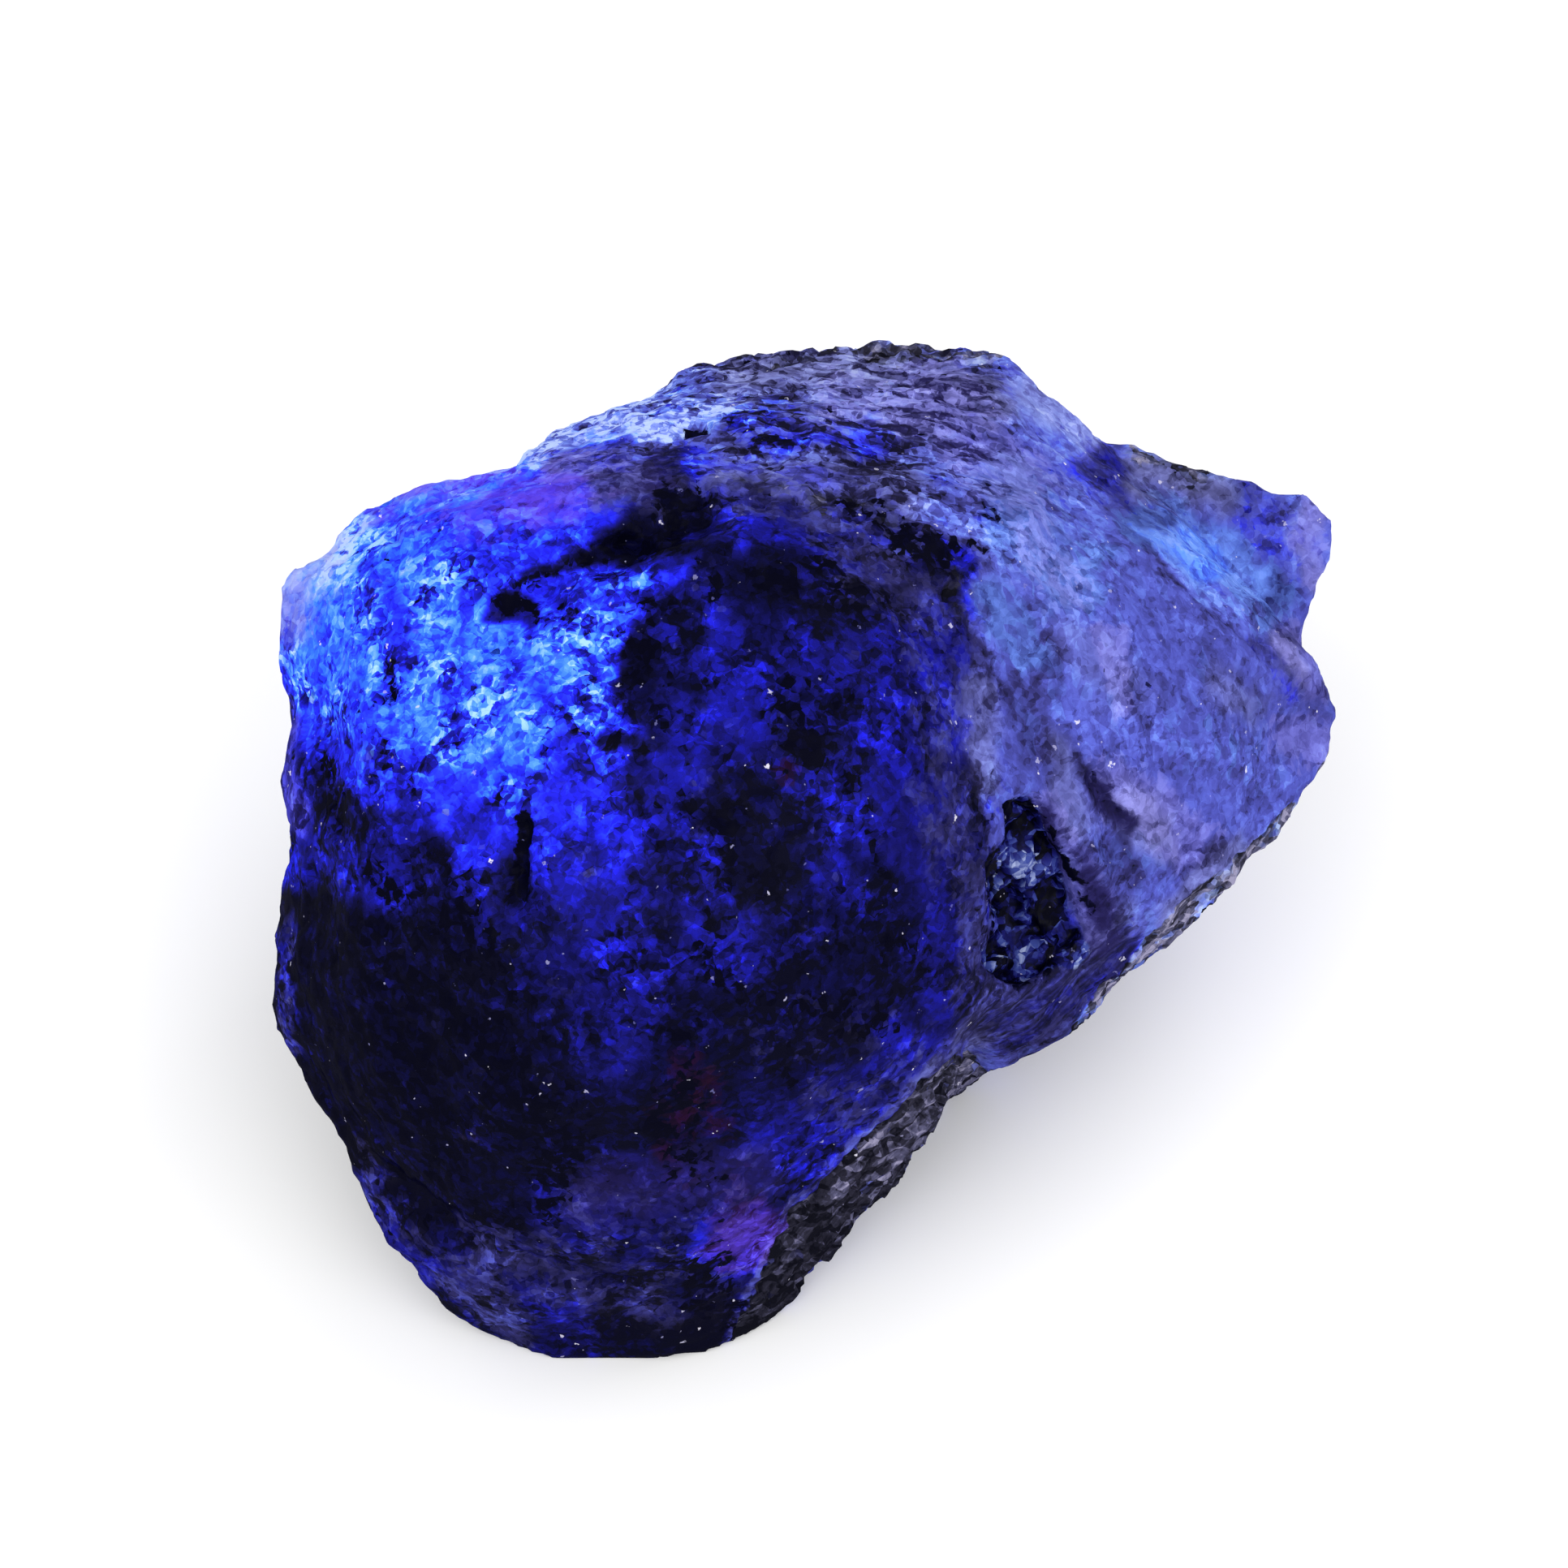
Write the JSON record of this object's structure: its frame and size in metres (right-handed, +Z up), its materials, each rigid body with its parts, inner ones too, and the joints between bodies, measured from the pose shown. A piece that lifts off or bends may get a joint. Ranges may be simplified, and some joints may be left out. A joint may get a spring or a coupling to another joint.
{
  "type": "rough sapphire",
  "caption": "Fist-shaped lump of uncut blue sapphire: a rounded front, a sloping pale shoulder with a small pit, a layered broken rim and a flat underside.",
  "frame": {"origin": "centre of the stone's box in X and Y, on the surface it rests on in Z", "axes": "+X along the stone's length towards the pale corner, +Y towards its broken back, +Z up from the flat it rests on"},
  "size_m": [0.0614, 0.0546, 0.0434],
  "materials": {
    "sapphire": "worn, granular deep blue corundum with black patches and pale periwinkle broken faces"
  },
  "bodies": {
    "root": {"sapphire": "sapphire"}
  },
  "joints": []
}
